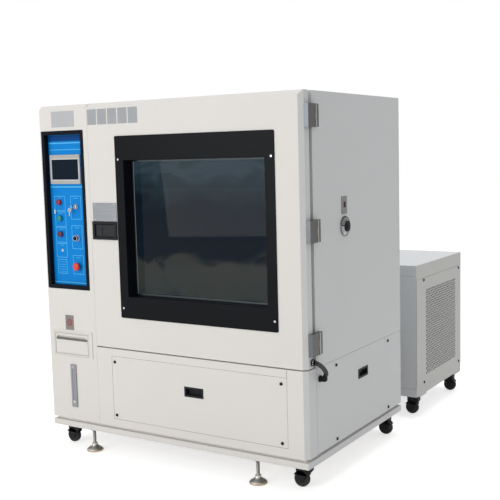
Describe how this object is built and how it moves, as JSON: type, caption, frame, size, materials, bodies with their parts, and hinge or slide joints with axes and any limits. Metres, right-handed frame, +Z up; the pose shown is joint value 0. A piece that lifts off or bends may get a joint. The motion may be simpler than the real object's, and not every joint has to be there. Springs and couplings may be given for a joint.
{
  "type": "environmental test chamber",
  "caption": "Floor-standing climatic test chamber: windowed door on side hinges, control column, base on casters and levelling feet, condensing unit behind it.",
  "frame": {"origin": "centre of the whole assembly's bounding box in plan, on the floor", "axes": "+Z up, +X to the right along the cabinet's front, +Y from the front to the back"},
  "size_m": [1.5584, 2.016, 1.749],
  "materials": {
    "white_coat": "satin",
    "grey_coat": "satin",
    "black_coat": "satin",
    "blue_coat": "satin",
    "stainless": "satin",
    "chrome": "polished",
    "foam": "matte",
    "glass": "gloss",
    "rubber": "matte",
    "tyre": "matte",
    "black_plastic": "matte",
    "grey_plastic": "matte",
    "red_plastic": "gloss",
    "green_plastic": "gloss",
    "dark_red_plastic": "gloss",
    "clear_plastic": "gloss",
    "plated_steel": "satin",
    "alloy": "matte"
  },
  "bodies": {
    "cabinet": {"base_frame": "white_coat", "outer_casing": "grey_coat", "rear_panel": "grey_coat", "column_front": "white_coat", "lower_front": "white_coat", "front_access_panel": "white_coat", "side_access_panel": "grey_coat", "panel_fasteners": "black_plastic", "chamber_liner": "stainless", "insulation": "foam", "wire_shelves": "stainless", "air_baffle": "stainless", "fan_motor": "alloy", "hinge_frame_leaves": "chrome", "door_conduit": "rubber", "control_bezel": "black_coat", "control_plate": "blue_coat", "touch_screen": "grey_plastic", "level_gauge": "clear_plastic", "drawer_frame": "white_coat", "cable_port": "stainless", "unit_base": "grey_coat", "unit_casing": "grey_coat", "unit_side_panels": "grey_coat", "condensing_set": "alloy", "refrigerant_lines": "rubber"},
    "door": {"door_shell": "white_coat", "door_liner": "stainless", "window_panel": "black_coat", "window_glazing": "glass", "door_gasket": "rubber", "door_hinge_leaves": "chrome", "latch_housing": "black_plastic"},
    "latch": {"latch_paddle": "black_plastic"},
    "power": {"power_button": "red_plastic"},
    "run": {"run_button": "green_plastic"},
    "alarm": {"alarm_button": "dark_red_plastic"},
    "key": {"key_switch": "chrome"},
    "selector": {"mode_selector": "black_plastic"},
    "estop": {"emergency_stop": "red_plastic"},
    "plug": {"port_plug": "rubber"},
    "drawer": {"water_drawer": "white_coat"},
    "circulator": {"circulation_fan": "alloy"},
    "condenser_rotor": {"condenser_fan": "black_plastic"},
    "fork_left": {"caster_fork_front_left": "black_coat"},
    "wheel_front_left": {"caster_wheel_front_left": "tyre"},
    "fork_right": {"caster_fork_front_right": "black_coat"},
    "wheel_front_right": {"caster_wheel_front_right": "tyre"},
    "wheel_rear_left": {"caster_wheel_rear_left": "tyre"},
    "wheel_rear_right": {"caster_wheel_rear_right": "tyre"},
    "unit_fork_left": {"unit_caster_fork_front_left": "black_coat"},
    "unit_wheel_front_left": {"unit_caster_wheel_front_left": "tyre"},
    "unit_fork_right": {"unit_caster_fork_front_right": "black_coat"},
    "unit_wheel_front_right": {"unit_caster_wheel_front_right": "tyre"},
    "unit_wheel_rear_left": {"unit_caster_wheel_rear_left": "tyre"},
    "unit_wheel_rear_right": {"unit_caster_wheel_rear_right": "tyre"},
    "foot_front_left": {"foot_front_left": "plated_steel"},
    "foot_front_right": {"foot_front_right": "plated_steel"},
    "foot_rear_left": {"foot_rear_left": "plated_steel"},
    "foot_rear_right": {"foot_rear_right": "plated_steel"}
  },
  "joints": [
    {"name": "door_hinge", "type": "hinge", "parent": "cabinet", "child": "door", "pos_m": [0.73278, -0.908, 1.153], "axis": [0, 0, 1], "range_deg": [0, 120], "deforming": ["door_conduit"]},
    {"name": "latch_pull", "type": "hinge", "parent": "door", "child": "latch", "pos_m": [-0.37422, -0.996, 1.162], "axis": [-1, 0, 0], "range_deg": [0, 35], "stiffness_Nm_per_rad": 0.4, "springref_deg": -17.19},
    {"name": "swivel_left", "type": "hinge", "parent": "cabinet", "child": "fork_left", "pos_m": [-0.71522, -0.896, 0.112], "axis": [0, 0, 1], "continuous": true},
    {"name": "roll_front_left", "type": "hinge", "parent": "fork_left", "child": "wheel_front_left", "pos_m": [-0.74122, -0.896, 0.037], "axis": [0, 1, 0], "continuous": true},
    {"name": "swivel_right", "type": "hinge", "parent": "cabinet", "child": "fork_right", "pos_m": [0.65678, -0.896, 0.112], "axis": [0, 0, 1], "continuous": true},
    {"name": "roll_front_right", "type": "hinge", "parent": "fork_right", "child": "wheel_front_right", "pos_m": [0.63078, -0.896, 0.037], "axis": [0, 1, 0], "continuous": true},
    {"name": "roll_rear_left", "type": "hinge", "parent": "cabinet", "child": "wheel_rear_left", "pos_m": [-0.71522, -0.03, 0.037], "axis": [0, 1, 0], "continuous": true},
    {"name": "roll_rear_right", "type": "hinge", "parent": "cabinet", "child": "wheel_rear_right", "pos_m": [0.65678, -0.03, 0.037], "axis": [0, 1, 0], "continuous": true},
    {"name": "unit_swivel_left", "type": "hinge", "parent": "cabinet", "child": "unit_fork_left", "pos_m": [0.05478, 0.383, 0.112], "axis": [0, 0, 1], "continuous": true},
    {"name": "unit_roll_front_left", "type": "hinge", "parent": "unit_fork_left", "child": "unit_wheel_front_left", "pos_m": [0.03678, 0.383, 0.037], "axis": [0, 1, 0], "continuous": true},
    {"name": "unit_swivel_right", "type": "hinge", "parent": "cabinet", "child": "unit_fork_right", "pos_m": [0.65678, 0.383, 0.112], "axis": [0, 0, 1], "continuous": true},
    {"name": "unit_roll_front_right", "type": "hinge", "parent": "unit_fork_right", "child": "unit_wheel_front_right", "pos_m": [0.63878, 0.383, 0.037], "axis": [0, 1, 0], "continuous": true},
    {"name": "unit_roll_rear_left", "type": "hinge", "parent": "cabinet", "child": "unit_wheel_rear_left", "pos_m": [0.05478, 0.952, 0.037], "axis": [0, 1, 0], "continuous": true},
    {"name": "unit_roll_rear_right", "type": "hinge", "parent": "cabinet", "child": "unit_wheel_rear_right", "pos_m": [0.65678, 0.952, 0.037], "axis": [0, 1, 0], "continuous": true},
    {"name": "level_front_left", "type": "slide", "parent": "cabinet", "child": "foot_front_left", "axis": [0, 0, 1], "range_m": [0, 0.025]},
    {"name": "level_front_right", "type": "slide", "parent": "cabinet", "child": "foot_front_right", "axis": [0, 0, 1], "range_m": [0, 0.025]},
    {"name": "level_rear_left", "type": "slide", "parent": "cabinet", "child": "foot_rear_left", "axis": [0, 0, 1], "range_m": [0, 0.025]},
    {"name": "level_rear_right", "type": "slide", "parent": "cabinet", "child": "foot_rear_right", "axis": [0, 0, 1], "range_m": [0, 0.025]},
    {"name": "power_press", "type": "slide", "parent": "cabinet", "child": "power", "axis": [0, 1, 0], "range_m": [0, 0.004], "stiffness_N_per_m": 400, "springref_m": -0.002},
    {"name": "run_press", "type": "slide", "parent": "cabinet", "child": "run", "axis": [0, 1, 0], "range_m": [0, 0.004], "stiffness_N_per_m": 400, "springref_m": -0.002},
    {"name": "alarm_press", "type": "slide", "parent": "cabinet", "child": "alarm", "axis": [0, 1, 0], "range_m": [0, 0.004], "stiffness_N_per_m": 400, "springref_m": -0.002},
    {"name": "estop_press", "type": "slide", "parent": "cabinet", "child": "estop", "axis": [0, 1, 0], "range_m": [0, 0.005], "stiffness_N_per_m": 600, "springref_m": -0.002},
    {"name": "key_turn", "type": "hinge", "parent": "cabinet", "child": "key", "pos_m": [-0.58322, -0.98, 1.247], "axis": [0, 1, 0], "range_deg": [0, 90]},
    {"name": "selector_turn", "type": "hinge", "parent": "cabinet", "child": "selector", "pos_m": [-0.58322, -0.98, 1.091], "axis": [0, 1, 0], "range_deg": [-45, 45]},
    {"name": "plug_pull", "type": "slide", "parent": "cabinet", "child": "plug", "axis": [1, 0, 0], "range_m": [0, 0.13]},
    {"name": "drawer_slide", "type": "slide", "parent": "cabinet", "child": "drawer", "axis": [0, -1, 0], "range_m": [0, 0.19]},
    {"name": "circulator_spin", "type": "hinge", "parent": "cabinet", "child": "circulator", "pos_m": [0.14678, -0.27, 1.406], "axis": [0, 1, 0], "continuous": true},
    {"name": "condenser_spin", "type": "hinge", "parent": "cabinet", "child": "condenser_rotor", "pos_m": [0.60448, 0.675, 0.4685], "axis": [1, 0, 0], "continuous": true}
  ]
}
